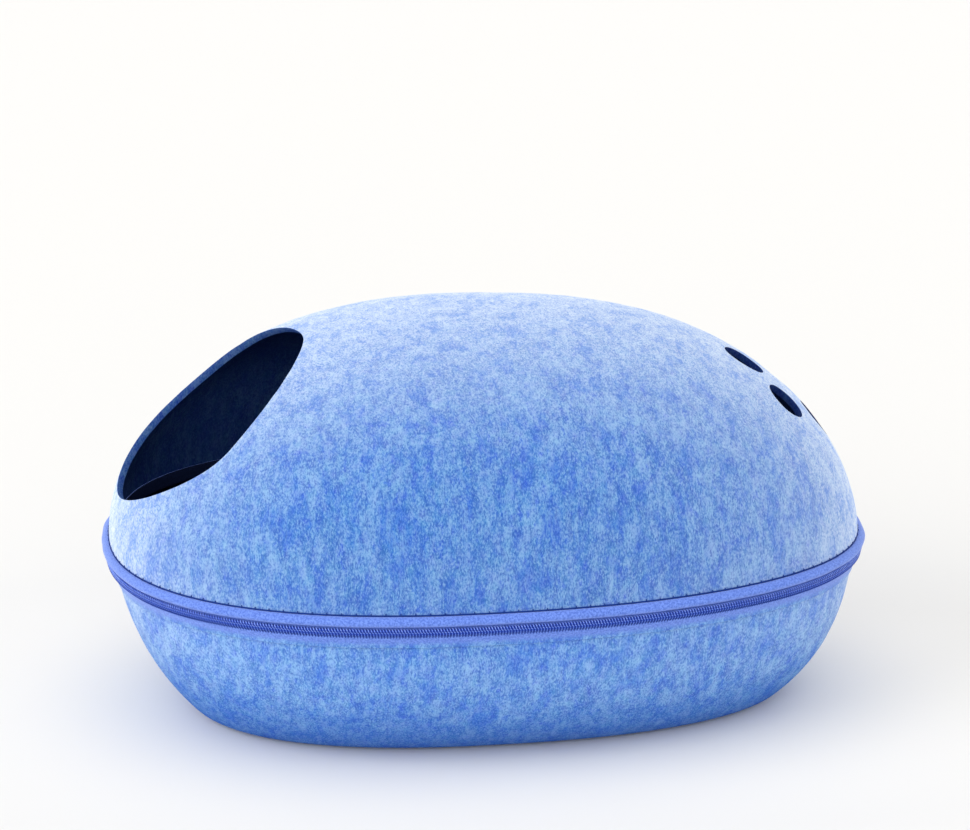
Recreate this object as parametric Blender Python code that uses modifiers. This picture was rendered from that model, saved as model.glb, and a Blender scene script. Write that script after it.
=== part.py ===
"""Egg-shaped cat cave bed of moulded felt: a dome and a bowl joined by a zip.

Metres, +Z up. The origin is the middle of the flat base, and the entrance faces -X.
The bed is nearly the same on both sides of Y = 0. The zip's slider is at the back, to one side.
"""
import math

import bmesh
import bpy
from mathutils import Matrix, Vector
from mathutils.bvhtree import BVHTree

# The felt shells
HALF_LENGTH = 0.250         # of the dome's outside at its lower edge, along X
HALF_WIDTH = 0.170          # the same, along Y
ZIP_HEIGHT = 0.1155         # of the dome's lower edge above the floor
DOME_RISE = 0.152           # from the dome's lower edge to its top
DOME_PEAK_X = -0.001        # where the highest point lies
FELT = 0.0045               # thickness of the moulded felt
EGG_TAPER = 0.11            # how much wider the plan is at the front than at the middle
PLAN_POWER = 2.31           # 2 would be an ellipse, and more is squarer
BOWL_INSET = 0.0025         # the bowl's outside lies this far inside the dome's
BOWL_DROP = 0.013           # from the dome's lower edge to the bowl's upper edge
FLOOR_ROUNDING = 0.009      # where the bowl's wall turns into its flat floor

# Outline powers: 1 - s**A to the 1/B gives the share of the width left at the share s of the rise
DOME_FRONT = (1.91, 2.18)
DOME_REAR = (1.77, 2.45)
DOME_SIDE = (2.83, 2.07)
# The bowl draws in by 1 - (c * u)**n to the 1/n at the share u of its depth, as (c, n)
BOWL_FRONT = (0.587, 1.88)
BOWL_REAR = (0.674, 2.27)
BOWL_SIDE = (0.830, 2.34)

# The entrance: an oval hole punched along a line that slopes up and forwards
ENTRANCE_X = -0.140
ENTRANCE_Z = 0.168
ENTRANCE_SLOPE = math.radians(36.4)
ENTRANCE_HALF_WIDTH = 0.098
ENTRANCE_HALF_HEIGHT = 0.078
ENTRANCE_POWER = 1.82

# Four round vents in a diamond on the rear slope
VENT_RADIUS = 0.015
VENT_X = 0.196
VENT_STEP_X = 0.0235
VENT_STEP_Y = 0.0315
VENT_TURN = math.radians(4)  # of the diamond, seen from above

# The zip: distances out from the shells' outer wall and up from the dome's lower edge
TAPE = 0.0016
CHAIN_TOP = -0.0081
CHAIN_DEPTH = 0.0055
CHAIN_BACK = 0.0031
CHAIN_THICK = 0.0024
SLIDER_ANGLE = math.radians(50)
SLIDER_LENGTH = 0.011
SLIDER_HEIGHT = 0.008
SLIDER_PLATE = 0.0016
BAIL_RADIUS = 0.0036
BAIL_WIRE = 0.0006
PULL_LENGTH = 0.026
PULL_WIDTH = 0.0074
PULL_NECK = 0.0044
PULL_NECK_LENGTH = 0.005
PULL_SHOULDER = 0.003       # the stretch where the neck widens into the tab
PULL_THICK = 0.0009
EYE_WIDTH = 0.0022
EYE_LENGTH = 0.0034
EYE_RIM = 0.001             # of metal above the eye, which sits behind the arch

# Working values
AROUND = 56                 # flats round the plan of every piece
DOME_RINGS = 14
BOWL_RINGS = 12
WALL_SHARE = 2 / 3          # of the bowl's rings are wall, and the rest are floor
GAP = 0.0003                # between pieces that touch

FELT_BLUE = (0.125, 0.310, 0.720)
TAPE_BLUE = (0.200, 0.290, 0.800)
COIL_BLUE = (0.055, 0.135, 0.530)
SLIDER_BLUE = (0.070, 0.150, 0.520)


def material(name, colour, roughness, metallic):
    mat = bpy.data.materials.new(name)
    mat.use_nodes = True
    mat.diffuse_color = (*colour, 1)
    shader = mat.node_tree.nodes["Principled BSDF"]
    shader.inputs["Base Color"].default_value = (*colour, 1)
    shader.inputs["Roughness"].default_value = roughness
    shader.inputs["Metallic"].default_value = metallic
    return mat


def signed_power(value, power):
    return math.copysign(abs(value) ** power, value)


def plan(angle, front, rear, half_width):
    """A point of the egg's horizontal outline, seen from above."""
    along = signed_power(math.cos(angle), 2 / PLAN_POWER)
    across = signed_power(math.sin(angle), 2 / PLAN_POWER)
    x = (front + rear) / 2 + (rear - front) / 2 * along
    return Vector((x, half_width * across * (1 - EGG_TAPER * along), 0))


def dome_point(angle, share):
    """A point of the dome's outside, at the share 0 to 1 of its rise."""
    def left(powers):
        return max(1 - share ** powers[0], 0) ** (1 / powers[1])
    front = DOME_PEAK_X - (HALF_LENGTH + DOME_PEAK_X) * left(DOME_FRONT)
    rear = DOME_PEAK_X + (HALF_LENGTH - DOME_PEAK_X) * left(DOME_REAR)
    point = plan(angle, front, rear, HALF_WIDTH * left(DOME_SIDE))
    point.z = ZIP_HEIGHT + DOME_RISE * share
    return point


def bowl_point(angle, height):
    """A point of the bowl's outer wall, at a height above the floor."""
    depth = 1 - height / ZIP_HEIGHT

    def left(draw):
        return (1 - (draw[0] * depth) ** draw[1]) ** (1 / draw[1])
    half_length = HALF_LENGTH - BOWL_INSET
    front = -half_length * left(BOWL_FRONT)
    rear = half_length * left(BOWL_REAR)
    point = plan(angle, front, rear, (HALF_WIDTH - BOWL_INSET) * left(BOWL_SIDE))
    point.z = height
    return point


def wall_point(angle, height):
    """The outer wall at a height: the dome, the bowl, or the straight line between their edges."""
    bowl_top = ZIP_HEIGHT - BOWL_DROP
    if height >= ZIP_HEIGHT:
        return dome_point(angle, (height - ZIP_HEIGHT) / DOME_RISE)
    if height <= bowl_top:
        return bowl_point(angle, height)
    share = (height - bowl_top) / BOWL_DROP
    return bowl_point(angle, bowl_top).lerp(dome_point(angle, 0), share)


def outward(angle):
    """The level direction that points straight out of the wall."""
    step = 0.002
    along = dome_point(angle + step, 0) - dome_point(angle - step, 0)
    return Vector((along.y, -along.x, 0)).normalized()


def finish(obj, collection, mat, smooth_angle=35):
    obj.data.materials.clear()
    obj.data.materials.append(mat)
    obj.data.shade_smooth()
    obj.data.set_sharp_from_angle(angle=math.radians(smooth_angle))
    for owner in list(obj.users_collection):
        owner.objects.unlink(obj)
    collection.objects.link(obj)


def half_ball(name, rings, upper):
    """The upper or lower half of a unit ball, open at its equator."""
    mesh = bpy.data.meshes.new(name)
    bm = bmesh.new()
    bmesh.ops.create_uvsphere(bm, u_segments=AROUND, v_segments=2 * rings, radius=1)
    away = [v for v in bm.verts if (v.co.z < -0.01 if upper else v.co.z > 0.01)]
    bmesh.ops.delete(bm, geom=away, context="VERTS")
    bm.to_mesh(mesh)
    bm.free()
    obj = bpy.data.objects.new(name, mesh)
    bpy.context.scene.collection.objects.link(obj)
    return obj


def thicken(obj):
    solid = obj.modifiers.new("Felt", "SOLIDIFY")
    solid.thickness = FELT
    solid.offset = -1
    solid.use_even_offset = True


def cutter(name, bm, matrix, collection):
    mesh = bpy.data.meshes.new(name)
    bm.to_mesh(mesh)
    bm.free()
    obj = bpy.data.objects.new(name, mesh)
    obj.matrix_world = matrix
    obj.hide_render = True
    obj.display_type = "WIRE"
    collection.objects.link(obj)
    return obj


def cut(obj, tool):
    boolean = obj.modifiers.new(tool.name, "BOOLEAN")
    boolean.operation = "DIFFERENCE"
    boolean.solver = "EXACT"
    boolean.object = tool


def entrance_cutter(collection):
    """An oval bar whose own Z runs out of the entrance and whose X runs up it."""
    reach = 0.26
    start = -0.08               # inside the bed, clear of the wall behind
    bm = bmesh.new()
    bmesh.ops.create_cone(
        bm, cap_ends=True, segments=56, radius1=1, radius2=1, depth=reach,
        matrix=Matrix.Translation((0, 0, start + reach / 2)))
    for vert in bm.verts:
        angle = math.atan2(vert.co.y, vert.co.x)
        vert.co.x = ENTRANCE_HALF_HEIGHT * signed_power(math.cos(angle), 2 / ENTRANCE_POWER)
        vert.co.y = ENTRANCE_HALF_WIDTH * signed_power(math.sin(angle), 2 / ENTRANCE_POWER)
    turn = Matrix.Rotation(ENTRANCE_SLOPE - math.pi / 2, 4, "Y")
    place = Matrix.Translation((ENTRANCE_X, 0, ENTRANCE_Z))
    return cutter("entrance_cutter", bm, place @ turn, collection)


def vent_cutters(dome, collection):
    """Round bars square to the felt, at the four corners of a diamond."""
    bm = bmesh.new()
    bm.from_mesh(dome.data)
    surface = BVHTree.FromBMesh(bm)
    bm.free()
    corners = {"top": (-1, 0), "near": (0, -1), "far": (0, 1), "bottom": (1, 0)}
    tools = []
    for corner, (along, across) in corners.items():
        step = Vector((along * VENT_STEP_X, across * VENT_STEP_Y, 0))
        step.rotate(Matrix.Rotation(VENT_TURN, 3, "Z"))
        above = Vector((VENT_X, 0, 1)) + step
        spot, normal, _, _ = surface.ray_cast(above, Vector((0, 0, -1)))
        bar = bmesh.new()
        bmesh.ops.create_cone(
            bar, cap_ends=True, segments=24, radius1=VENT_RADIUS, radius2=VENT_RADIUS,
            depth=4 * VENT_RADIUS)
        turn = normal.to_track_quat("Z", "Y").to_matrix().to_4x4()
        place = Matrix.Translation(spot)
        tools.append(cutter(f"vent_{corner}_cutter", bar, place @ turn, collection))
    return tools


def make_dome(parts, cutters, mat):
    dome = half_ball("dome_shell", DOME_RINGS, upper=True)
    for vert in dome.data.vertices:
        angle = math.atan2(vert.co.y, vert.co.x)
        vert.co = dome_point(angle, min(max(vert.co.z, 0), 1))
    tools = [entrance_cutter(cutters)] + vent_cutters(dome, cutters)
    thicken(dome)
    for tool in tools:
        cut(dome, tool)
    finish(dome, parts, mat)


def make_bowl(parts, mat):
    bowl = half_ball("bowl_shell", BOWL_RINGS, upper=False)
    inside = set()
    for vert in bowl.data.vertices:
        angle = math.atan2(vert.co.y, vert.co.x)
        share = math.asin(min(-vert.co.z, 1)) / (math.pi / 2)
        if share <= WALL_SHARE + 0.001:
            height = (ZIP_HEIGHT - BOWL_DROP) * (1 - share / WALL_SHARE)
            vert.co = bowl_point(angle, max(height, 0))
        else:
            vert.co = bowl_point(angle, 0) * ((1 - share) / (1 - WALL_SHARE))
            inside.add(vert.index)
    weights = bowl.data.attributes.new("bevel_weight_edge", "FLOAT", "EDGE")
    for edge in bowl.data.edges:
        on_floor = all(bowl.data.vertices[i].co.z < 1e-6 for i in edge.vertices)
        weights.data[edge.index].value = float(on_floor and not inside.intersection(edge.vertices))
    rounding = bowl.modifiers.new("Floor rounding", "BEVEL")
    rounding.width = FLOOR_ROUNDING
    rounding.segments = 3
    rounding.limit_method = "WEIGHT"
    thicken(bowl)
    finish(bowl, parts, mat)


def sheet_section(path, thickness):
    """A closed section of even thickness along a path that runs down from the top."""
    outer, inner = [], []
    for i, point in enumerate(path):
        before = Vector(path[max(i - 1, 0)])
        after = Vector(path[min(i + 1, len(path) - 1)])
        run = (after - before).normalized()
        side = Vector((-run.y, run.x)) * thickness / 2
        outer.append(Vector(point) + side)
        inner.append(Vector(point) - side)
    return outer[::-1] + inner


def make_ring(name, section, parts, mat):
    """A closed ring round the bed.

    Each point of its section is (out from the wall, up from the dome's lower edge).
    """
    bpy.ops.mesh.primitive_torus_add(
        major_segments=AROUND, minor_segments=len(section), major_radius=1, minor_radius=0.25)
    ring = bpy.context.object
    ring.name = name
    for index, vert in enumerate(ring.data.vertices):
        out, up = section[index % len(section)]
        angle = math.atan2(vert.co.y, vert.co.x)
        vert.co = wall_point(angle, ZIP_HEIGHT + up) + outward(angle) * out
    finish(ring, parts, mat)


def make_tapes(parts, mat):
    hidden = -(FELT + 3 * GAP + TAPE / 2)
    upper = [
        (hidden, 0.0080), (hidden, -0.0004), (-0.0036, -0.0018), (0.0006, -0.0016),
        (0.0032, -0.0024), (0.0050, -0.0042), (0.0048, -0.0060), (0.0028, -0.0067),
        (0.0020, -0.0078), (0.0020, -0.0106)]
    make_ring("zip_tape_upper", sheet_section(upper, TAPE), parts, mat)
    lying = GAP + TAPE / 2
    lower = [
        (0.0020, -0.0110), (0.0020, -0.0133), (0.0026, -0.0146), (0.0024, -0.0162),
        (0.0016, -0.0184), (lying, -0.0212)]
    make_ring("zip_tape_lower", sheet_section(lower, TAPE), parts, mat)


def make_chain(parts, mat):
    """The closed coil as one strip, with a groove along the line where the two halves mesh."""
    front = CHAIN_BACK + CHAIN_THICK
    bottom = CHAIN_TOP - CHAIN_DEPTH
    middle = CHAIN_TOP - CHAIN_DEPTH / 2
    corner = CHAIN_THICK / 3
    section = [
        (CHAIN_BACK, bottom), (front - corner, bottom), (front, bottom + corner),
        (front - corner / 2, middle), (front, CHAIN_TOP - corner), (front - corner, CHAIN_TOP),
        (CHAIN_BACK, CHAIN_TOP)]
    make_ring("zip_chain", section, parts, mat)


def slider_frame():
    """X along the chain, Y up, Z straight out; the origin is on the chain's front face."""
    out = outward(SLIDER_ANGLE)
    up = Vector((0, 0, 1))
    height = ZIP_HEIGHT + CHAIN_TOP - CHAIN_DEPTH / 2
    spot = wall_point(SLIDER_ANGLE, height) + out * (CHAIN_BACK + CHAIN_THICK)
    axes = Matrix((up.cross(out), up, out)).transposed().to_4x4()
    return Matrix.Translation(spot) @ axes


def make_slider(parts, mat):
    """The slider's front plate with the arch that carries the pull."""
    back = 2 * GAP
    bpy.ops.mesh.primitive_cube_add(size=1)
    slider = bpy.context.object
    slider.name = "zip_slider"
    size = Matrix.Diagonal((SLIDER_LENGTH, SLIDER_HEIGHT, SLIDER_PLATE, 1))
    slider.data.transform(Matrix.Translation((0, 0, back + SLIDER_PLATE / 2)) @ size)
    slider.matrix_world = slider_frame()
    bevel = slider.modifiers.new("Edges", "BEVEL")
    bevel.width = SLIDER_PLATE / 3
    bevel.segments = 2

    bpy.ops.mesh.primitive_torus_add(
        major_segments=20, minor_segments=8, major_radius=BAIL_RADIUS, minor_radius=BAIL_WIRE)
    arch = bpy.context.object
    arch.name = "bail_arch"
    sunk = back + SLIDER_PLATE * 0.7
    stand = Matrix.Translation((0, 0, sunk)) @ Matrix.Rotation(math.pi / 2, 4, "X")
    arch.data.transform(stand)
    bm = bmesh.new()
    bm.from_mesh(arch.data)
    whole = bm.verts[:] + bm.edges[:] + bm.faces[:]
    bmesh.ops.bisect_plane(
        bm, geom=whole, plane_co=(0, 0, sunk), plane_no=(0, 0, 1), clear_inner=True)
    bmesh.ops.holes_fill(bm, edges=[edge for edge in bm.edges if edge.is_boundary])
    bm.to_mesh(arch.data)
    bm.free()
    arch.matrix_world = slider_frame()
    arch.hide_render = True
    arch.display_type = "WIRE"
    join = slider.modifiers.new("Arch", "BOOLEAN")
    join.operation = "UNION"
    join.solver = "EXACT"
    join.object = arch
    finish(slider, parts, mat)
    return arch


def make_pull(parts, mat):
    """A flat tab whose eye hangs on the arch. Its outline is in X and Y."""
    curve = bpy.data.curves.new("zip_pull", "CURVE")
    curve.dimensions = "2D"
    curve.fill_mode = "BOTH"
    curve.extrude = PULL_THICK / 2
    half = PULL_WIDTH / 2
    neck = PULL_NECK / 2
    top = BAIL_WIRE + GAP + EYE_RIM
    neck_end = top - PULL_NECK_LENGTH
    shoulder = neck_end - PULL_SHOULDER
    end = top - PULL_LENGTH + half
    tip = [(half * math.cos(a), end - half * math.sin(a))
           for a in (math.pi * i / 12 for i in range(13))]
    outline = [(neck, top), (neck, neck_end), (half, shoulder)]
    outline += tip
    outline += [(-half, shoulder), (-neck, neck_end), (-neck, top)]
    eye = EYE_WIDTH / 2
    eye_top = top - EYE_RIM
    eye_end = eye_top - EYE_LENGTH
    hole = [(-eye, eye_top), (eye, eye_top), (eye, eye_end), (-eye, eye_end)]
    for points in (outline, hole):
        spline = curve.splines.new("POLY")
        spline.points.add(len(points) - 1)
        for place, (x, y) in zip(spline.points, points):
            place.co = (x, y, 0, 1)
        spline.use_cyclic_u = True
    pull = bpy.data.objects.new("zip_pull", curve)
    under_arch = 2 * GAP + SLIDER_PLATE + GAP + PULL_THICK / 2
    pull.matrix_world = slider_frame() @ Matrix.Translation((0, 0, under_arch))
    curve.materials.append(mat)
    parts.objects.link(pull)


def main():
    for obj in list(bpy.data.objects):
        bpy.data.objects.remove(obj)
    parts = bpy.data.collections.new("cat_cave_bed")
    cutters = bpy.data.collections.new("cutters")
    bpy.context.scene.collection.children.link(parts)
    bpy.context.scene.collection.children.link(cutters)

    felt = material("blue_felt", FELT_BLUE, 0.95, 0)
    tape = material("zip_tape", TAPE_BLUE, 0.75, 0)
    coil = material("zip_coil", COIL_BLUE, 0.45, 0)
    enamel = material("zip_enamel", SLIDER_BLUE, 0.35, 0.6)

    make_dome(parts, cutters, felt)
    make_bowl(parts, felt)
    make_tapes(parts, tape)
    make_chain(parts, coil)
    arch = make_slider(parts, enamel)
    for owner in list(arch.users_collection):
        owner.objects.unlink(arch)
    cutters.objects.link(arch)
    make_pull(parts, enamel)


main()
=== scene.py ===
"""Cat cave bed of heathered blue felt: a dome zipped to a bowl.

Metres, +Z up. The entrance faces -X, the vents +X, and the photograph was taken from -Y.
"""
import math

import bmesh
import bpy
import numpy as np
from mathutils import Matrix, Vector, noise
from mathutils.bvhtree import BVHTree


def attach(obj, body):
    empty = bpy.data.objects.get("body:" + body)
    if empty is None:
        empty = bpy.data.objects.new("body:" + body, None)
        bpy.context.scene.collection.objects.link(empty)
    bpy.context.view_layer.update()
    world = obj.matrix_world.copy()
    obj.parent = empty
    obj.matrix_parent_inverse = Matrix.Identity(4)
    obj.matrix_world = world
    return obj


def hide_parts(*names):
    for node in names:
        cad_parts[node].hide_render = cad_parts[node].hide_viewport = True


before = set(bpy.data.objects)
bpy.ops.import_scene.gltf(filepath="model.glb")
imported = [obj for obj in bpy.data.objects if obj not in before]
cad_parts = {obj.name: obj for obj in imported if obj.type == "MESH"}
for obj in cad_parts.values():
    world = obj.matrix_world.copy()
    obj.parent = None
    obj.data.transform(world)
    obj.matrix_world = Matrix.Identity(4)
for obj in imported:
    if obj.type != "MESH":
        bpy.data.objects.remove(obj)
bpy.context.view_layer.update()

# The bowl: one oval sheet of polyester needle felt, pressed hot over a mould into a
# flat-bottomed bowl. Its upper edge ends bare behind the zip's lower tape.
zip_height = 0.1155         # of the dome's lower edge above the floor
half_length = 0.250
half_width = 0.170
egg_taper = 0.11            # the plan is this much wider in front than at the middle
plan_power = 2.31           # 2 would be an ellipse
felt_thick = 0.0045
bowl_inset = 0.0025         # the bowl's outside lies this far inside the dome's
bowl_drop = 0.013           # from the dome's lower edge to the bowl's upper edge
floor_rounding = 0.009
bowl_front = (0.587, 1.88)
bowl_rear = (0.674, 2.27)
bowl_side = (0.830, 2.34)
felt_around = 420           # facets round the plan
bowl_wall_rows = 44
bowl_round_rows = 8
bowl_floor_rows = 24
felt_blues = {"Body": (0.080, 0.218, 0.550), "Light": (0.225, 0.400, 0.665),
              "Deep": (0.025, 0.090, 0.365), "Strong": (0.030, 0.115, 0.565)}
# Painted sheen: the felt is whitened between these two colours where it is seen edge on.
painted_sheen_light = (0.84, 0.91, 1.00)     # painted sheen of the loose fibres, seen edge on, light end
painted_sheen_dark = (0.34, 0.51, 0.88)


def only(obj):
    """Leave one object selected and active."""
    bpy.ops.object.select_all(action="DESELECT")
    obj.select_set(True)
    bpy.context.view_layer.objects.active = obj


def apply_modifiers(obj):
    only(obj)
    for modifier in list(obj.modifiers):
        bpy.ops.object.modifier_apply(modifier=modifier.name)


def signed_power(value, power):
    return math.copysign(abs(value) ** power, value)


def plan(angle, front, rear, half):
    """A point of the egg's level outline."""
    along = signed_power(math.cos(angle), 2 / plan_power)
    across = signed_power(math.sin(angle), 2 / plan_power)
    x = (front + rear) / 2 + (rear - front) / 2 * along
    return Vector((x, half * across * (1 - egg_taper * along), 0))


def bowl_point(angle, height):
    """A point of the bowl's outside at a height above the floor."""
    depth = 1 - height / zip_height

    def left(draw):
        return (1 - (draw[0] * depth) ** draw[1]) ** (1 / draw[1])
    reach = half_length - bowl_inset
    point = plan(angle, -reach * left(bowl_front), reach * left(bowl_rear),
                 (half_width - bowl_inset) * left(bowl_side))
    point.z = height
    return point


def rounding_start(angle):
    """The height where the wall begins to turn into the floor."""
    corner = bowl_point(angle, 0)
    low, high = 0, 2 * floor_rounding
    for _ in range(24):
        middle = (low + high) / 2
        if (bowl_point(angle, middle) - corner).length < floor_rounding:
            low = middle
        else:
            high = middle
    return low


def lumps(point, depth):
    """How far hand-shaped felt stands off its mould, from broad waves and small lumps."""
    broad = noise.noise(point * 17 + Vector((3.1, 7.7, 1.3)))
    small = noise.noise(point * 75 + Vector((9.4, 0.6, 5.2)))
    return depth * (0.75 * broad + 0.25 * small)


def raise_lumps(bm, depth, calm):
    """Move the outside along its normal, by nothing where calm(point) is 0."""
    bm.normal_update()
    shift = [vert.normal * (lumps(vert.co, depth) * calm(vert.co)) for vert in bm.verts]
    for vert, step in zip(bm.verts, shift):
        vert.co += step


def felt_wall(obj, outside, inside, edge_round, segments, reshape=None):
    """Give a moulded skin the felt's thickness and round its cut edges."""
    for finish in (outside, inside, cut_felt_and_shade):
        obj.data.materials.append(finish)
    solid = obj.modifiers.new("Felt", "SOLIDIFY")
    solid.thickness = felt_thick
    solid.offset = -1
    solid.use_even_offset = True
    solid.material_offset = 1
    solid.material_offset_rim = 2
    apply_modifiers(obj)
    bm = bmesh.new()
    bm.from_mesh(obj.data)
    if reshape:
        reshape(bm)
    weights = bm.edges.layers.float.new("bevel_weight_edge")
    for edge in bm.edges:
        if len(edge.link_faces) == 2 and edge.calc_face_angle() > math.radians(48):
            edge[weights] = 1
    bm.to_mesh(obj.data)
    bm.free()
    soften = obj.modifiers.new("Cut edge", "BEVEL")
    soften.width = edge_round
    soften.segments = segments
    soften.limit_method = "WEIGHT"
    soften.use_clamp_overlap = True
    soften.material = 2
    apply_modifiers(obj)
    obj.data.shade_smooth()


def socket(group, name, kind, in_out, value=None):
    made = group.interface.new_socket(name, in_out=in_out, socket_type="NodeSocket" + kind)
    if value is not None:
        made.default_value = value
    return made


def add_node(tree, kind, inputs=(), **settings):
    """A node with its settings, and its inputs given as values or as sockets to link."""
    node = tree.nodes.new("ShaderNode" + kind)
    for name, value in settings.items():
        setattr(node, name, value)
    for key, value in dict(inputs).items():
        if isinstance(value, bpy.types.NodeSocket):
            tree.links.new(value, node.inputs[key])
        else:
            node.inputs[key].default_value = value
    return node


def stretched_noise(tree, coords, turn, size, scale, detail):
    """Noise drawn out along its own Z by size[2], as fibres or streaks."""
    placed = add_node(tree, "Mapping", {"Vector": coords, "Rotation": turn, "Scale": size})
    grain = add_node(tree, "TexNoise", {
        "Vector": placed.outputs["Vector"], "Scale": scale, "Detail": detail, "Roughness": 0.62})
    return grain.outputs["Fac"]


def between(tree, value, low, high, most=1.0):
    """Spread the stretch low to high over 0 to most."""
    spread = add_node(tree, "MapRange", {
        "Value": value, "From Min": low, "From Max": high, "To Max": most})
    spread.interpolation_type = "SMOOTHSTEP"
    return spread.outputs["Result"]


def blend_colour(tree, share, first, second):
    mix = add_node(tree, "Mix", data_type="RGBA")
    for key, value in ((0, share), (6, first), (7, second)):
        if isinstance(value, bpy.types.NodeSocket):
            tree.links.new(value, mix.inputs[key])
        else:
            mix.inputs[key].default_value = value
    return mix.outputs[2]


def calculate(tree, operation, first, second=0.0, third=0.0):
    return add_node(tree, "Math", {0: first, 1: second, 2: third},
                    operation=operation).outputs[0]


def weighted_sum(tree, *parts):
    """The sum of values, each times its weight."""
    total = 0.0
    for value, weight in parts:
        total = calculate(tree, "MULTIPLY_ADD", value, weight, total)
    return total


def heathered_felt():
    """Matted fibres of three blues: their colour, and how high they lie."""
    group = bpy.data.node_groups.new("heathered_felt", "ShaderNodeTree")
    for name in ("Body", "Light", "Deep", "Strong"):
        socket(group, name, "Color", "INPUT", (0.2, 0.3, 0.7, 1))
    socket(group, "Patches", "Float", "INPUT", 0.6)
    socket(group, "Colour", "Color", "OUTPUT")
    socket(group, "Height", "Float", "OUTPUT")
    socket(group, "Tone", "Float", "OUTPUT")
    given = group.nodes.new("NodeGroupInput")
    result = group.nodes.new("NodeGroupOutput")
    place = add_node(group, "TexCoord").outputs["Object"]
    drift = add_node(group, "TexNoise", {"Vector": place, "Scale": 55, "Detail": 1})
    pull = add_node(group, "VectorMath", {0: drift.outputs["Color"], 1: (0.5, 0.5, 0.5)},
                    operation="SUBTRACT")
    wander = add_node(group, "VectorMath", {0: pull.outputs[0], "Scale": 0.003},
                      operation="SCALE")
    coords = add_node(group, "VectorMath", {0: place, 1: wander.outputs[0]}).outputs[0]

    upright = stretched_noise(group, coords, (0, 0, 0), (1, 0.6, 0.58), 900, 3)
    leaning = stretched_noise(group, coords, (0.5, 0.42, 0.3), (1, 0.7, 0.42), 1250, 2)
    crossing = stretched_noise(group, coords, (-0.7, -0.6, 1.1), (1, 0.7, 0.42), 1250, 2)
    clumps = stretched_noise(group, coords, (0, 0, 0), (1, 0.6, 0.6), 330, 2)
    mean = weighted_sum(group, (upright, 0.4), (leaning, 0.25), (crossing, 0.2), (clumps, 0.15))

    patch = stretched_noise(group, coords, (0, 0, 0), (1, 0.6, 0.45), 95, 3)
    fleck = stretched_noise(group, coords, (0.3, 0, 0.9), (1, 0.7, 0.5), 260, 2)
    wide = stretched_noise(group, place, (0.2, 0, 0.5), (1, 1, 0.6), 34, 2)
    streak = stretched_noise(group, coords, (0.06, 0.04, 0), (1, 0.5, 0.2), 190, 2)
    patch_share = between(group, patch, 0.48, 0.66, given.outputs["Patches"])
    drawn_light = between(group, streak, 0.50, 0.68, 0.45)

    colour = given.outputs["Body"]
    for share, blue in ((patch_share, "Strong"),
                        (between(group, patch, 0.50, 0.34, 0.45), "Light"),
                        (between(group, wide, 0.40, 0.64, 0.15), "Deep"),
                        (between(group, fleck, 0.56, 0.70, 0.7), "Strong"),
                        (drawn_light, "Light"),
                        (between(group, streak, 0.48, 0.32, 0.30), "Deep"),
                        (between(group, mean, 0.515, 0.40, 0.68), "Deep")):
        colour = blend_colour(group, share, colour, given.outputs[blue])
    tips = blend_colour(group, patch_share, given.outputs["Light"], given.outputs["Body"])
    colour = blend_colour(group, between(group, mean, 0.475, 0.60, 0.72), colour, tips)
    dye = stretched_noise(group, coords, (0.4, 0.2, 0), (1, 1, 0.6), 190, 2)
    hue = add_node(group, "MapRange", {"Value": dye, "To Min": 0.481, "To Max": 0.519})
    colour = add_node(group, "HueSaturation", {
        "Hue": hue.outputs["Result"], "Color": colour}).outputs["Color"]
    group.links.new(colour, result.inputs["Colour"])
    group.links.new(mean, result.inputs["Height"])
    group.links.new(calculate(group, "SUBTRACT", drawn_light, patch_share),
                    result.inputs["Tone"])
    return group


def new_material(name, roughness):
    mat = bpy.data.materials.new(name)
    mat.use_nodes = True
    shader = mat.node_tree.nodes["Principled BSDF"]
    shader.inputs["Roughness"].default_value = roughness
    return mat, mat.node_tree, shader


def use_group(tree, group, **values):
    node = tree.nodes.new("ShaderNodeGroup")
    node.node_tree = group
    for name, value in values.items():
        node.inputs[name].default_value = value
    return node


felt_group = heathered_felt()


def tinted_blues(tint):
    """The felt's four blues, multiplied by tint."""
    return {name: (*(a * b for a, b in zip(tint, blue)), 1)
            for name, blue in felt_blues.items()}


def edge_share(tree, power, most):
    """From 0 on a surface seen straight on to most on one seen edge on."""
    facing = add_node(tree, "LayerWeight", {"Blend": 0.5}).outputs["Facing"]
    return calculate(tree, "MULTIPLY", calculate(tree, "POWER", facing, power), most)


def felt_material(name, tint, patches, painted_sheen=0.0):
    """Felt with a painted sheen where it is seen edge on, more where it faces up, and painted
    shade on its underside.
    """
    mat, tree, shader = new_material(name, 0.92)
    blues = tinted_blues(tint)
    fibres = use_group(tree, felt_group, Patches=patches, **blues)
    geometry = tree.nodes.new("ShaderNodeNewGeometry")
    up = add_node(tree, "SeparateXYZ", {0: geometry.outputs["Normal"]}).outputs["Z"]
    # Painted sheen: whitened where the felt is seen edge on, more where it faces up and none
    # where it faces down.
    painted_sheen_share = edge_share(tree, 1.3, between(tree, up, -0.7, 0.0, painted_sheen))
    raised = weighted_sum(tree, (fibres.outputs["Height"], 1.0), (fibres.outputs["Tone"], 0.11))
    painted_sheen_colour = blend_colour(tree, between(tree, raised, 0.36, 0.60),
                         (*painted_sheen_dark, 1), (*painted_sheen_light, 1))
    colour = blend_colour(tree, painted_sheen_share, fibres.outputs["Colour"], painted_sheen_colour)
    # Painted shade: faces turned down are blended up to half way to the deep blue.
    colour = blend_colour(tree, between(tree, up, -0.4, -0.85, 0.5), colour, blues["Deep"])
    tree.links.new(colour, shader.inputs["Base Color"])
    relief = add_node(tree, "Bump", {
        "Strength": 0.5, "Distance": 0.0005, "Height": fibres.outputs["Height"]})
    tree.links.new(relief.outputs["Normal"], shader.inputs["Normal"])
    shader.inputs["Specular IOR Level"].default_value = 0.05
    return mat


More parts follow.
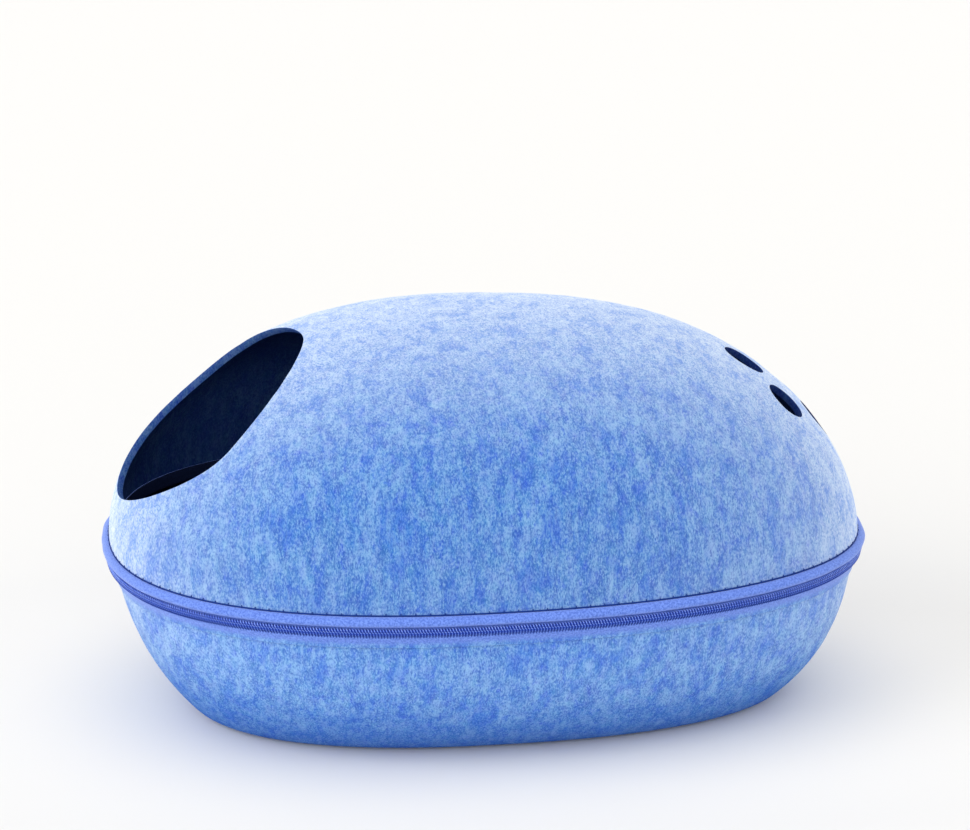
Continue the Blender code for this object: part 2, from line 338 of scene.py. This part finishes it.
# Painted light: the bowl is the dome's same felt, painted about 15% lighter, with a weaker
# painted sheen.
bowl_felt = felt_material("bowl_felt", (1.13, 1.15, 1.15), 0.6, 0.65)
# Painted shade: the bowl's inside faces are the same felt at about a tenth to a sixth of its
# colour.
bowl_inside_painted_shade = felt_material("bowl_inside_painted_shade", (0.06, 0.10, 0.17), 0.3)
# The cut faces are darker partly as the fibre ends of cut felt and partly as painted shade.
cut_felt_and_shade = felt_material("cut_felt_and_shade", (0.50, 0.50, 0.62), 0.3)

bpy.ops.object.select_all(action="DESELECT")
bowl_rows = bowl_wall_rows + bowl_round_rows + bowl_floor_rows
bpy.ops.mesh.primitive_uv_sphere_add(segments=felt_around, ring_count=2 * bowl_rows, radius=1)
bowl = bpy.context.object
bowl.name = "bowl_felt"
bm = bmesh.new()
bm.from_mesh(bowl.data)
bmesh.ops.delete(bm, geom=[v for v in bm.verts if v.co.z > 0.001], context="VERTS")
turning = {}
for vert in bm.verts:
    angle = math.atan2(vert.co.y, vert.co.x)
    row = round(math.asin(min(-vert.co.z, 1)) / (math.pi / 2) * bowl_rows)
    key = round(angle * felt_around / math.tau) % felt_around
    if key not in turning:
        start = rounding_start(angle)
        corner = bowl_point(angle, 0)
        inner = corner - corner.normalized() * floor_rounding
        turning[key] = (start, bowl_point(angle, start), corner, inner)
    start, on_wall, corner, on_floor = turning[key]
    if row <= bowl_wall_rows:
        top = zip_height - bowl_drop
        vert.co = bowl_point(angle, top + (start - top) * row / bowl_wall_rows)
    elif row < bowl_wall_rows + bowl_round_rows:
        t = (row - bowl_wall_rows) / bowl_round_rows
        vert.co = on_wall * (1 - t) ** 2 + corner * 2 * t * (1 - t) + on_floor * t * t
    else:
        vert.co = on_floor * (bowl_rows - row) / bowl_floor_rows
raise_lumps(bm, 0.0007, lambda p: min(1, max(0, (p.z - 0.008) / 0.03))
            * min(1, max(0, (zip_height - bowl_drop - p.z) / 0.02)))
bm.to_mesh(bowl.data)
bm.free()
felt_wall(bowl, bowl_felt, bowl_inside_painted_shade, 0.0008, 2)
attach(bowl, "root")
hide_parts("bowl_shell")

# The dome: a second sheet of the same felt, pressed over a higher mould. The oval entrance
# and the four round vents are punched out of it afterwards, so their edges are cut felt.
dome_rise = 0.152
dome_peak_x = -0.001
dome_front = (1.91, 2.18)
dome_rear = (1.77, 2.45)
dome_side = (2.83, 2.07)
dome_rows = 84
entrance_middle = Vector((-0.140, 0, 0.168))
entrance_slope = math.radians(36.4)
entrance_half_width = 0.098
entrance_half_height = 0.078
entrance_power = 1.82
vents = ((0.1730, -0.0022, 0.0150), (0.1968, -0.0318, 0.0146),
         (0.1962, 0.0287, 0.0146), (0.2225, 0.0045, 0.0146))  # x, y and radius


def dome_point(angle, share):
    """A point of the dome's outside at the share 0 to 1 of its rise."""
    def left(powers):
        return max(1 - share ** powers[0], 0) ** (1 / powers[1])
    front = dome_peak_x - (half_length + dome_peak_x) * left(dome_front)
    rear = dome_peak_x + (half_length - dome_peak_x) * left(dome_rear)
    point = plan(angle, front, rear, half_width * left(dome_side))
    point.z = zip_height + dome_rise * share
    return point


class Punch:
    """A hole's outline on a plane, and the line along which it is punched."""

    def __init__(self, middle, out, up, half_across, half_up, power):
        self.middle, self.out, self.up = middle, out.normalized(), up.normalized()
        self.across = self.out.cross(self.up)
        self.sizes, self.power = (half_across, half_up), power

    def flat(self, point):
        away = point - self.middle
        return away.dot(self.across), away.dot(self.up), away.dot(self.out)

    def reach(self, point):
        """Below 1 inside the hole, and 1 on its edge."""
        u, v, _ = self.flat(point)
        size = abs(u / self.sizes[0]) ** self.power + abs(v / self.sizes[1]) ** self.power
        return size ** (1 / self.power)

    def to_edge(self, point, surface):
        """The nearest place on the hole's edge, on the surface."""
        u, v, _ = self.flat(point)
        grow = 1 / self.reach(point)
        start = (self.middle + self.across * u * grow + self.up * v * grow
                 + self.out * 0.08)
        return surface.ray_cast(start, -self.out)[0]


def punch_out(bm, surface, hole):
    """Remove the faces in the hole, and even out the ones round its edge."""
    near = [f for f in bm.faces if hole.flat(f.calc_center_median())[2] > -0.08]
    bmesh.ops.delete(
        bm, geom=[f for f in near if hole.reach(f.calc_center_median()) < 1], context="FACES")
    loose = [v for v in bm.verts if not v.link_faces]
    bmesh.ops.delete(bm, geom=loose, context="VERTS")
    edge = {v for v in bm.verts if v.is_boundary and v.co.z > zip_height + 0.002
            and hole.reach(v.co) < 1.35 and hole.flat(v.co)[2] > -0.08}
    for vert in edge:
        vert.co = hole.to_edge(vert.co, surface)
    ring, seen = set(edge), set(edge)
    for _ in range(5):
        ring = {e.other_vert(v) for v in ring for e in v.link_edges} - seen
        seen |= ring
    inner = [v for v in seen - edge if not v.is_boundary]
    for _ in range(12):
        placed = {}
        for vert in edge:
            beside = [e.other_vert(vert).co for e in vert.link_edges if e.is_boundary]
            placed[vert] = (beside[0] + beside[1]) / 4 + vert.co / 2
        for vert in inner:
            around = [e.other_vert(vert).co for e in vert.link_edges]
            placed[vert] = sum(around, Vector()) / len(around)
        for vert in edge:
            vert.co = hole.to_edge(placed[vert], surface)
        for vert in inner:
            vert.co = surface.find_nearest(placed[vert])[0]
    return edge, inner


bpy.ops.object.select_all(action="DESELECT")
bpy.ops.mesh.primitive_uv_sphere_add(segments=felt_around, ring_count=2 * dome_rows, radius=1)
dome = bpy.context.object
dome.name = "dome_felt"
bm = bmesh.new()
bm.from_mesh(dome.data)
bmesh.ops.delete(bm, geom=[v for v in bm.verts if v.co.z < -0.001], context="VERTS")
for vert in bm.verts:
    vert.co = dome_point(math.atan2(vert.co.y, vert.co.x), min(max(vert.co.z, 0), 1))
raise_lumps(bm, 0.0008, lambda p: min(1, max(0, (p.z - zip_height - 0.002) / 0.03)))
skin = BVHTree.FromBMesh(bm)
bm.normal_update()
lining = BVHTree.FromPolygons([v.co - v.normal * felt_thick for v in bm.verts],
                              [[v.index for v in f.verts] for f in bm.faces])
entrance_turn = Matrix.Rotation(entrance_slope - math.pi / 2, 3, "Y")
entrance = Punch(entrance_middle, entrance_turn @ Vector((0, 0, 1)),
                 entrance_turn @ Vector((1, 0, 0)), entrance_half_width,
                 entrance_half_height, entrance_power)
marks = bm.verts.layers.int.new("entrance")
for number, verts in enumerate(punch_out(bm, skin, entrance), start=1):
    for vert in verts:
        vert[marks] = number
for vent_x, vent_y, vent_radius in vents:
    spot, normal, _, _ = skin.ray_cast(Vector((vent_x, vent_y, 1)), Vector((0, 0, -1)))
    around_vent = [f for f in bm.faces if (f.calc_center_median() - spot).length < 0.024]
    bmesh.ops.subdivide_edges(
        bm, edges=list({e for f in around_vent for e in f.edges}), cuts=1, use_grid_fill=True)
    for vert in bm.verts:
        if (vert.co - spot).length < 0.03:
            vert.co = skin.find_nearest(vert.co)[0]
    level = normal.cross(Vector((0, 1, 0)))
    vent = Punch(spot, normal, level, vent_radius, vent_radius, 2)
    punch_out(bm, skin, vent)
bm.to_mesh(dome.data)
bm.free()
outer_count = len(dome.data.vertices)


def follow_punch(bm):
    """Carry the entrance's cut through the felt along the line that it was punched on."""
    bm.verts.ensure_lookup_table()
    marks = bm.verts.layers.int["entrance"]
    inner = []
    for vert in bm.verts[:outer_count]:
        partner = bm.verts[vert.index + outer_count]
        if vert[marks] == 1:
            partner.co = lining.ray_cast(vert.co, -entrance.out)[0]
        elif vert[marks] == 2:
            inner.append(partner)
    for _ in range(14):
        placed = [sum((e.other_vert(v).co for e in v.link_edges), Vector()) / len(v.link_edges)
                  for v in inner]
        for vert, spot in zip(inner, placed):
            vert.co = lining.find_nearest(spot)[0]


dome_felt = felt_material("dome_felt", (1, 1, 1), 0.6, 1.0)
# Painted shade: the dome's inside faces are the same felt at about a quarter to two fifths of
# its colour.
dome_inside_painted_shade = felt_material("dome_inside_painted_shade", (0.22, 0.27, 0.42), 0.3)
felt_wall(dome, dome_felt, dome_inside_painted_shade, 0.0007, 2, follow_punch)
cut_slot, vent_shade_slot = 2, 3
# Painted shade: the vents' cut faces, beyond x = 0.1, get a much darker copy of the cut felt.
dome.data.materials.append(felt_material("vent_cut_painted_shade", (0.12, 0.14, 0.26), 0.3))
for face in dome.data.polygons:
    if face.material_index == cut_slot and face.center.x > 0.1:
        face.material_index = vent_shade_slot
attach(dome, "root")
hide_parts("dome_shell")

# The zip's tapes: woven polyester, dyed a little more violet than the felt. The upper one is
# sewn inside the dome's edge, bulges out as a welt and turns in behind the coil. The lower
# one comes down from behind the coil and lies on the bowl, felted over at its lower edge.
tape_thick = 0.0009
tape_room = 0.0016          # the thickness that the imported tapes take
tape_body = (0.182, 0.304, 0.805)
tape_shade = (0.068, 0.140, 0.540)
tape_painted_sheen = (0.460, 0.560, 0.940)   # painted sheen of loose fibres, seen edge on
tape_around = 720
raggedness = 0.005          # how far the felt's lower fibres reach up and down the tape
close = 0.0003              # between pieces that touch


def wall_point(angle, height):
    """The outside at a height: dome, bowl, or the straight line between their edges."""
    bowl_top = zip_height - bowl_drop
    if height >= zip_height:
        return dome_point(angle, (height - zip_height) / dome_rise)
    if height <= bowl_top:
        return bowl_point(angle, height)
    return bowl_point(angle, bowl_top).lerp(
        dome_point(angle, 0), (height - bowl_top) / bowl_drop)


def outward(angle):
    """The level direction straight out of the wall."""
    along = dome_point(angle + 0.002, 0) - dome_point(angle - 0.002, 0)
    return Vector((along.y, -along.x, 0)).normalized()


def even_angles(count):
    """Angles that are evenly far apart along the zip, and the zip's length."""
    steps = 4 * count
    angles = [math.tau * i / steps for i in range(steps + 1)]
    points = [wall_point(angle, zip_height - 0.012) for angle in angles]
    run = [0.0]
    for before, after in zip(points, points[1:]):
        run.append(run[-1] + (after - before).length)
    wanted = [run[-1] * i / count for i in range(count)]
    return list(np.interp(wanted, run, angles)), run[-1]


def smooth_path(points, cuts=5):
    """A smooth curve through a path's points."""
    curve = []
    for i in range(len(points) - 1):
        before, here = points[max(i - 1, 0)], points[i]
        after, last = points[i + 1], points[min(i + 2, len(points) - 1)]
        for cut in range(cuts):
            t = cut / cuts
            curve.append(0.5 * (2 * here + (after - before) * t
                                + (2 * before - 5 * here + 4 * after - last) * t * t
                                + (3 * here - before - 3 * after + last) * t ** 3))
    return curve + [points[-1]]


def sheet_section(path, thickness, shift):
    """A closed section round a path that runs down, with the distance run at each point."""
    outer, inner, run, lengths = [], [], 0.0, []
    for i, point in enumerate(path):
        before, after = path[max(i - 1, 0)], path[min(i + 1, len(path) - 1)]
        way = (after - before).normalized()
        side = Vector((-way.y, way.x))
        run += (point - before).length
        outer.append(point + side * (shift + thickness / 2))
        inner.append(point + side * (shift - thickness / 2))
        lengths.append(run)
    return outer[::-1] + inner, lengths[::-1] + lengths


def tape_ring(name, path, ripple):
    """A tape of woven cloth right round the bed, with its UV map in metres of cloth."""
    angles, around = even_angles(tape_around)
    section, lengths = sheet_section(
        smooth_path([Vector(p) for p in path]), tape_thick, (tape_room - tape_thick) / 2)
    count = len(section)
    points = []
    for angle in angles:
        side = outward(angle)
        for out, up in section:
            spot = wall_point(angle, zip_height + up)
            wave = noise.noise(spot * 55) * ripple * min(1, max(0, out / 0.004))
            points.append(spot + side * (out + wave))
    quads, places = [], []
    for station in range(tape_around):
        for spot in range(count):
            beside = (spot + 1) % count
            corners = ((station, spot), (station + 1, spot), (station + 1, beside),
                       (station, beside))
            quads.append([s % tape_around * count + p for s, p in corners])
            places += [(around * s / tape_around, lengths[p]) for s, p in corners]
    mesh = bpy.data.meshes.new(name)
    mesh.from_pydata(points, [], quads)
    cloth = mesh.uv_layers.new(name="cloth")
    for loop, place in zip(cloth.data, places):
        loop.uv = place
    ring = bpy.data.objects.new(name, mesh)
    bpy.context.scene.collection.objects.link(ring)
    ring.data.shade_smooth()
    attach(ring, "root")
    return ring, around, max(lengths)


def woven_tape():
    """A plain weave on the cloth's own UV map: its colour, and how high the yarns lie."""
    group = bpy.data.node_groups.new("woven_tape", "ShaderNodeTree")
    socket(group, "Yarn", "Color", "INPUT", (0.3, 0.4, 0.8, 1))
    socket(group, "Gap", "Color", "INPUT", (0.2, 0.3, 0.7, 1))
    socket(group, "Pitch", "Float", "INPUT", 0.0007)
    socket(group, "Colour", "Color", "OUTPUT")
    socket(group, "Height", "Float", "OUTPUT")
    given = group.nodes.new("NodeGroupInput")
    result = group.nodes.new("NodeGroupOutput")
    cloth = add_node(group, "UVMap", uv_map="cloth").outputs["UV"]
    split = add_node(group, "SeparateXYZ", {0: cloth})
    turns = calculate(group, "DIVIDE", math.tau, given.outputs["Pitch"])
    along = calculate(group, "SINE", calculate(group, "MULTIPLY", split.outputs["X"], turns))
    across = calculate(group, "SINE", calculate(group, "MULTIPLY", split.outputs["Y"], turns))
    over = calculate(group, "MULTIPLY", along, across)
    height = calculate(group, "MULTIPLY_ADD", over, 0.5, 0.5)
    uneven = add_node(group, "TexNoise", {
        "Vector": cloth, "Scale": 700, "Detail": 3, "Roughness": 0.7})
    wide = add_node(group, "TexNoise", {"Vector": cloth, "Scale": 70, "Detail": 2})
    speckle = between(group, uneven.outputs["Fac"], 0.38, 0.62)
    # The tape is darker where the weave lies low and in random speckles, and varies broadly.
    gap_and_speckle = weighted_sum(group, (height, 0.15), (speckle, 0.75), (wide.outputs["Fac"], 0.2))
    colour = blend_colour(group, gap_and_speckle, given.outputs["Gap"], given.outputs["Yarn"])
    group.links.new(colour, result.inputs["Colour"])
    group.links.new(height, result.inputs["Height"])
    return group


tape_group = woven_tape()


def tape_material(name, yarn, gap, painted_sheen=0.5, felted=None):
    """Woven tape. felted gives where, down the cloth, felt begins and ends to cover it."""
    mat, tree, shader = new_material(name, 0.7)
    weave = use_group(tree, tape_group, Yarn=(*yarn, 1), Gap=(*gap, 1), Pitch=0.0007)
    colour = weave.outputs["Colour"]
    if felted:
        # Painted light: the felt over the tape is painted 18% lighter than the felt, like the
        # bowl's lighter copy.
        fibres = use_group(tree, felt_group, Patches=0.6, **tinted_blues((1.18, 1.18, 1.18)))
        cloth = add_node(tree, "UVMap", uv_map="cloth").outputs["UV"]
        down = add_node(tree, "SeparateXYZ", {0: cloth}).outputs["Y"]
        ragged = weighted_sum(tree, (fibres.outputs["Height"], 2 * raggedness), (down, 1.0))
        cover = between(tree, ragged, felted[0] + raggedness, felted[1] + raggedness)
        colour = blend_colour(tree, cover, colour, fibres.outputs["Colour"])
    # Painted sheen: the tape is whitened where it is seen edge on.
    colour = blend_colour(tree, edge_share(tree, 2.0, painted_sheen), colour, (*tape_painted_sheen, 1))
    tree.links.new(colour, shader.inputs["Base Color"])
    relief = add_node(tree, "Bump", {
        "Strength": 0.5, "Distance": 0.00015, "Height": weave.outputs["Height"]})
    tree.links.new(relief.outputs["Normal"], shader.inputs["Normal"])
    shader.inputs["Specular IOR Level"].default_value = 0.15
    return mat


tape = tape_material("zip_tape", tape_body, tape_shade)
hidden = -(felt_thick + 3 * close + tape_room / 2)
upper_tape, zip_length, upper_width = tape_ring("upper_tape", [
    (hidden, 0.0080), (hidden, -0.0004), (-0.0036, -0.0018), (0.0006, -0.0016),
    (0.0032, -0.0024), (0.0050, -0.0042), (0.0048, -0.0060), (0.0028, -0.0067),
    (0.0020, -0.0078), (0.0020, -0.0106)], 0.0004)
upper_tape.data.materials.append(tape)
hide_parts("zip_tape_upper")

lower_tape, _, lower_width = tape_ring("lower_tape", [
    (0.0020, -0.0110), (0.0020, -0.0133), (0.0026, -0.0146), (0.0022, -0.0162),
    (0.0014, -0.0184), (0.0007, -0.0212), (0.0004, -0.0228)], 0.0)
felted_tape = tape_material("zip_tape_felted", tape_body, tape_shade, 0.5, (0.0068, 0.0116))
lower_tape.data.materials.append(felted_tape)
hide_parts("zip_tape_lower")
# Painted shade: the tapes' faces turned into the bed get the tape at about a tenth of its
# colour, with no painted sheen.
tape_back_painted_shade = tape_material("zip_tape_inside", (0.014, 0.026, 0.090), (0.007, 0.014, 0.055), 0)
for ring in (upper_tape, lower_tape):
    ring.data.materials.append(tape_back_painted_shade)
    for face in ring.data.polygons:
        if face.normal.x * face.center.x + face.normal.y * face.center.y < 0:
            face.material_index = 1

# The coil: two nylon filaments wound into flattened spirals round a filler cord, one sewn
# along each tape, whose turns mesh along the middle. Here the zip is closed all round.
coil_top = -0.0081
coil_deep = 0.0057          # both halves together, from top to bottom
coil_back = 0.0031
coil_thick = 0.0024
filament = 0.00034
coil_pitch = 0.0019
coil_overlap = 0.0019
# The upper coil is painted lighter and the lower one darker, as painted light from above and
# painted shade beneath; both are the same nylon.
coil_blue = (0.240, 0.370, 0.920)
coil_shade = (0.130, 0.240, 0.800)
lower_coil_painted_shade = (0.120, 0.225, 0.780)
# The filler cord is real, but its dark navy is painted shade, seen between the coil's turns.
filler_and_shade_blue = (0.008, 0.032, 0.270)
coil_steps = 10             # points of one turn

zip_angles, _ = even_angles(tape_around)
zip_shares = np.linspace(0, 1, tape_around + 1)
zip_closed = zip_angles + [math.tau]


def on_zip(share, out, up):
    """A place at a share of the way round the zip, out from the wall and up."""
    angle = float(np.interp(share % 1, zip_shares, zip_closed))
    return wall_point(angle, zip_height + up) + outward(angle) * out


def thread(name, paths, radius, closed):
    """One mesh of round threads along paths of points."""
    line = bpy.data.curves.new(name, "CURVE")
    line.dimensions = "3D"
    line.bevel_depth = radius
    line.bevel_resolution = 1
    line.use_fill_caps = not closed
    for path in paths:
        spline = line.splines.new("POLY")
        spline.points.add(len(path) - 1)
        spline.use_cyclic_u = closed
        for point, place in zip(spline.points, path):
            point.co = (*place, 1)
    laid = bpy.data.objects.new(name, line)
    bpy.context.scene.collection.objects.link(laid)
    only(laid)
    bpy.ops.object.convert(target="MESH")
    laid = bpy.context.object
    laid.data.shade_smooth()
    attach(laid, "root")
    return laid


def coil(name, upper, start, lean):
    """One filament wound right round the bed."""
    turns = round(zip_length / coil_pitch)
    half = (coil_deep + coil_overlap) / 4 - filament
    edge = filament + half
    middle = coil_top - edge if upper else coil_top - coil_deep + edge
    path = []
    for number in range(turns * coil_steps):
        phase = number / coil_steps
        turn = math.tau * phase
        way = 1 if upper else -1
        share = (phase + lean * math.cos(turn) + start) / turns
        out = coil_back + coil_thick / 2 + (coil_thick / 2 - filament) * math.sin(turn)
        path.append(on_zip(share, out, middle + way * half * math.cos(turn)))
    wound = thread(name, [path], filament, True)
    filler = [on_zip(i / tape_around, coil_back + coil_thick / 2, middle)
              for i in range(tape_around)]
    cord = thread(name.replace("coil", "filler"), [filler], half * 0.75, True)
    return wound, cord


def satin_nylon(name, colour, shade, gloss):
    """Dyed nylon with a slightly uneven dye and drawn-out scratches."""
    mat, tree, shader = new_material(name, 0.36)
    place = add_node(tree, "TexCoord").outputs["Object"]
    dye = add_node(tree, "TexNoise", {"Vector": place, "Scale": 260, "Detail": 2})
    blue = blend_colour(tree, between(tree, dye.outputs["Fac"], 0.35, 0.65),
                        (*shade, 1), (*colour, 1))
    tree.links.new(blue, shader.inputs["Base Color"])
    rub = add_node(tree, "TexNoise", {"Vector": place, "Scale": 900, "Detail": 2})
    rough = add_node(tree, "MapRange", {
        "Value": rub.outputs["Fac"], "To Min": 0.28, "To Max": 0.48})
    tree.links.new(rough.outputs["Result"], shader.inputs["Roughness"])
    shader.inputs["Specular IOR Level"].default_value = gloss
    return mat


nylon = satin_nylon("zip_coil", coil_blue, coil_shade, 0.5)
lower_nylon_painted_shade = satin_nylon("zip_lower_coil_painted_shade", lower_coil_painted_shade, lower_coil_painted_shade, 0.25)
twisted = satin_nylon("zip_filler", filler_and_shade_blue, filler_and_shade_blue, 0.1)
upper_coil, upper_filler = coil("upper_coil", True, 0.0, -0.1)
lower_coil, lower_filler = coil("lower_coil", False, 0.5, 0.22)
for wound, cord, dye in ((upper_coil, upper_filler, nylon),
                         (lower_coil, lower_filler, lower_nylon_painted_shade)):
    wound.data.materials.append(dye)
    cord.data.materials.append(twisted)
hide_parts("zip_chain")

# The sewing: a navy thread runs in the groove under the dome's edge and catches the felt
# every 9 mm; its dark line is partly the seam and partly painted shade under the felt's edge.
# A blue one crosses each turn of the lower coil, and a row of small stitches in the tape's own
# blue holds the lower tape to the bowl.
navy = (0.014, 0.050, 0.290)
crossing_blue = (0.020, 0.055, 0.360)
edge_stitch = 0.0093


def spun_thread(name, colour):
    """Twisted polyester: fine slanting plies."""
    mat, tree, shader = new_material(name, 0.6)
    place = add_node(tree, "TexCoord").outputs["Object"]
    plies = add_node(tree, "TexWave", {"Vector": place, "Scale": 900, "Distortion": 1.5},
                     bands_direction="DIAGONAL")
    dark = tuple(0.6 * part for part in colour)
    shade = blend_colour(tree, plies.outputs["Fac"], (*dark, 1), (*colour, 1))
    tree.links.new(shade, shader.inputs["Base Color"])
    relief = add_node(tree, "Bump", {
        "Strength": 0.4, "Distance": 0.0001, "Height": plies.outputs["Fac"]})
    tree.links.new(relief.outputs["Normal"], shader.inputs["Normal"])
    shader.inputs["Specular IOR Level"].default_value = 0.1
    return mat


# The groove thread is partly the seam and partly painted shade under the felt's edge.
groove = [on_zip(i / tape_around, 0.0002, -0.0003) for i in range(tape_around)]
edge_thread_and_shade = thread("edge_thread_and_shade", [groove], 0.00045, True)
edge_thread_and_shade.data.materials.append(spun_thread("navy_thread", navy))
catches = []
for i in range(round(zip_length / edge_stitch)):
    share = i / round(zip_length / edge_stitch)
    catches.append([on_zip(share, out, up) for out, up in (
        (0.0002, -0.0006), (0.0006, 0.0), (0.0004, 0.0006), (0.0, 0.0010))])
edge_catches = thread("edge_catches", catches, 0.00034, False)
edge_catches.data.materials.append(edge_thread_and_shade.data.materials[0])

front = coil_back + coil_thick
coil_turns = round(zip_length / coil_pitch)
crossings = []
for i in range(coil_turns):
    share = (i + 0.25) / coil_turns
    crossings.append([on_zip(share, out, coil_top - coil_deep + up) for out, up in (
        (front - 0.0006, 0.0014), (front - 0.0003, 0.0006), (coil_back + 0.0013, -0.0002),
        (coil_back + 0.0004, -0.0009), (coil_back - 0.0001, -0.0016))])
crossing_thread = thread("crossing_thread", crossings, 0.00034, False)
crossing_thread.data.materials.append(spun_thread("crossing_thread", crossing_blue))

seam = []
for i in range(round(zip_length / 0.0034)):
    share, step = i / round(zip_length / 0.0034), 0.0013 / zip_length
    seam.append([on_zip(share + along * step, out, -0.0193) for along, out in (
        (-1.0, 0.0013), (-0.6, 0.0017), (0.6, 0.0017), (1.0, 0.0013))])
seam_thread = thread("seam_thread", seam, 0.0002, False)
seam_thread.data.materials.append(spun_thread("tape_thread", tape_body))

# The slider and its pull: enamelled zinc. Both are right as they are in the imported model, and
# only get a finish here.
enamel_blue = (0.030, 0.080, 0.420)
enamel_mat, enamel_tree, enamel_shader = new_material("zip_enamel", 0.3)
enamel_place = add_node(enamel_tree, "TexCoord").outputs["Object"]
orange_peel = add_node(enamel_tree, "TexNoise", {
    "Vector": enamel_place, "Scale": 1400, "Detail": 1})
enamel_tint = add_node(enamel_tree, "TexNoise", {
    "Vector": enamel_place, "Scale": 350, "Detail": 3})
enamel_colour = blend_colour(
    enamel_tree, between(enamel_tree, enamel_tint.outputs["Fac"], 0.4, 0.6),
    (*enamel_blue, 1), (0.045, 0.110, 0.520, 1))
enamel_tree.links.new(enamel_colour, enamel_shader.inputs["Base Color"])
enamel_relief = add_node(enamel_tree, "Bump", {
    "Strength": 0.2, "Distance": 0.00005, "Height": orange_peel.outputs["Fac"]})
enamel_tree.links.new(enamel_relief.outputs["Normal"], enamel_shader.inputs["Normal"])
enamel_shader.inputs["Specular IOR Level"].default_value = 0.4
enamel_shader.inputs["Coat Weight"].default_value = 0.15
for node_name in ("zip_slider", "zip_pull"):
    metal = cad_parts[node_name]
    for number in range(len(metal.material_slots)):
        metal.material_slots[number].material = enamel_mat

# The studio: a white floor that runs out of sight, painted lighter and warmer round the bed as
# painted light against the bed's shadow and blue reflected light, white surroundings, and four
# wide soft lights, of which the one from the left is the strongest.
bpy.ops.object.select_all(action="DESELECT")
bpy.ops.mesh.primitive_plane_add(size=20)
floor = bpy.context.object
floor.name = "floor"
paper, paper_tree, paper_shader = new_material("studio_paper", 0.8)
paper_place = add_node(paper_tree, "TexCoord").outputs["Object"]
paper_from = add_node(paper_tree, "VectorMath", {0: paper_place, 1: (1.0, 1.6, 1.0)},
                      operation="MULTIPLY")
paper_far = add_node(paper_tree, "VectorMath", {0: paper_from.outputs[0]}, operation="LENGTH")
# Painted light: the paper is lighter and warmer near the bed, fading out between 0.25 and 0.5 m.
painted_light_share = between(paper_tree, paper_far.outputs["Value"], 0.25, 0.50)
paper_and_painted_light = blend_colour(
    paper_tree, painted_light_share, (0.960, 0.930, 0.870, 1), (0.850, 0.835, 0.805, 1))
paper_tree.links.new(paper_and_painted_light, paper_shader.inputs["Base Color"])
paper_shader.inputs["Specular IOR Level"].default_value = 0.1
floor.data.materials.append(paper)

world = bpy.data.worlds.new("studio")
bpy.context.scene.world = world
world.use_nodes = True
world.node_tree.nodes["Background"].inputs["Color"].default_value = (0.97, 0.98, 1.0, 1)
world.node_tree.nodes["Background"].inputs["Strength"].default_value = 0.85


def soft_light(name, place, target, spread, strength):
    """A light so far off that it falls evenly, as wide as spread degrees of the sky."""
    lamp = bpy.data.lights.new(name, "SUN")
    lamp.angle, lamp.energy = math.radians(spread), strength
    lit = bpy.data.objects.new(name, lamp)
    bpy.context.scene.collection.objects.link(lit)
    lit.location = place
    lit.rotation_euler = (Vector(target) - Vector(place)).to_track_quat("-Z", "Y").to_euler()


soft_light("overhead", (0.0, 0.0, 2.0), (0, 0, 0), 90, 0.35)
soft_light("from_front", (-0.4, -2.0, 0.45), (0, 0, 0), 50, 0.75)
soft_light("from_left", (-2.0, -0.8, 1.0), (0, 0, 0), 50, 1.2)
soft_light("from_right", (2.0, -0.1, 0.6), (0, 0, 0), 50, 0.35)

# The camera: where the photograph's outline, entrance, vents and zip all fall into place.
view_width, view_height = 970, 830
far_px = 4962.45            # the focal length in pixels
centre_row = 480            # the picture's row that the lens looks straight along
standoff = 3.305
elevation = math.radians(17.95)
yaw = math.radians(6.18)
roll = math.radians(0.35)
aim = Vector((0.0004, 0, 0.1486))
back = Vector((-math.sin(yaw) * math.cos(elevation), -math.cos(yaw) * math.cos(elevation),
               math.sin(elevation)))
right = Vector((math.cos(yaw), -math.sin(yaw), 0))
upright = back.cross(right)
camera_right = math.cos(roll) * right + math.sin(roll) * upright
camera_up = -math.sin(roll) * right + math.cos(roll) * upright
lens_data = bpy.data.cameras.new("photo_camera")
lens_data.sensor_width = 36
lens_data.lens = far_px / view_width * 36
lens_data.shift_y = (centre_row - view_height / 2) / view_width
camera = bpy.data.objects.new("photo_camera", lens_data)
bpy.context.scene.collection.objects.link(camera)
camera.matrix_world = Matrix.Translation(aim + back * standoff) @ Matrix(
    (camera_right, camera_up, back)).transposed().to_4x4()
bpy.context.scene.camera = camera
bpy.context.scene.view_settings.view_transform = "Standard"
